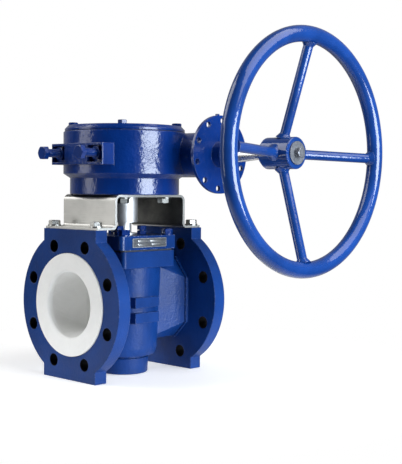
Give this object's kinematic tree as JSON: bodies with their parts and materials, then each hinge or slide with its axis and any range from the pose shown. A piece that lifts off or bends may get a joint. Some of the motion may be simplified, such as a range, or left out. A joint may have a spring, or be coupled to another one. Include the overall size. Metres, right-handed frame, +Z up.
{
  "type": "plug valve",
  "caption": "Lined flanged plug valve: a quarter-turn tapered plug driven by a worm gearbox on a bent bracket and a spoked handwheel.",
  "frame": {"origin": "centre of the inlet gasket face, on the pipe axis", "axes": "+Y along the pipe from inlet to outlet, +Z up along the stem, +X from the stem towards the handwheel"},
  "size_m": [0.4409, 0.3774, 0.5253],
  "materials": {
    "blue_paint": "glossy cobalt enamel on castings",
    "wheel_paint": "glossy cobalt enamel on tube",
    "stainless_sheet": "satin rolled sheet",
    "turned_steel": "turned",
    "plated_fastener": "plated",
    "plate_metal": "satin",
    "white_lining": "moulded fluoropolymer",
    "bronze": "machined",
    "black_rubber": "matte"
  },
  "bodies": {
    "valve": {"valve_body": "blue_paint", "body_lining": "white_lining", "valve_cover": "blue_paint", "cover_bolts": "blue_paint", "sealing_diaphragm": "white_lining", "metal_diaphragm": "turned_steel", "thrust_collar": "turned_steel", "stem_packing": "white_lining", "gland_ring": "turned_steel", "gland_adjusters": "blue_paint", "adjuster_lock_nuts": "blue_paint", "nameplate": "plate_metal", "nameplate_rivets": "plate_metal", "mounting_bracket": "stainless_sheet", "bracket_foot_bolts": "plated_fastener", "bracket_foot_washers": "plated_fastener", "gearbox_mount_bolts": "plated_fastener", "gearbox_mount_washers": "plated_fastener", "gearbox_housing": "blue_paint", "gearbox_gasket": "black_rubber", "gearbox_cover": "blue_paint", "gearbox_cover_bolts": "blue_paint", "lower_wheel_bush": "bronze", "upper_wheel_bush": "bronze", "stop_screws": "blue_paint", "stop_lock_nuts": "blue_paint", "inner_shaft_bush": "bronze", "outer_shaft_bush": "bronze", "worm_end_plug": "blue_paint", "input_flange_disc": "blue_paint", "shaft_seal": "black_rubber"},
    "plug_drive": {"plug_and_stem": "turned_steel", "plug_lining": "white_lining", "stem_key": "turned_steel", "stem_coupling": "turned_steel", "coupling_key": "turned_steel", "worm_wheel_hub": "turned_steel", "worm_wheel_segment": "bronze", "segment_screws": "turned_steel"},
    "input_drive": {"input_shaft": "turned_steel", "worm": "turned_steel", "worm_spacer": "turned_steel", "handwheel_hub": "wheel_paint", "handwheel_spokes": "wheel_paint", "handwheel_rim": "wheel_paint", "handwheel_key": "turned_steel", "hub_washer": "plated_fastener", "hub_spring_washer": "plated_fastener", "hub_bolt": "plated_fastener"}
  },
  "joints": [
    {"name": "plug_turn", "type": "hinge", "parent": "valve", "child": "plug_drive", "pos_m": [0, 0.1145, 0], "axis": [0, 0, -1], "range_deg": [0, 90]},
    {"name": "handwheel_spin", "type": "hinge", "parent": "valve", "child": "input_drive", "pos_m": [0.3, 0.1805, 0.2308], "axis": [-1, 0, 0], "range_deg": [0, 3600]}
  ],
  "couplings": [
    {"joint": "handwheel_spin", "follows": "plug_turn", "ratio": 40}
  ]
}
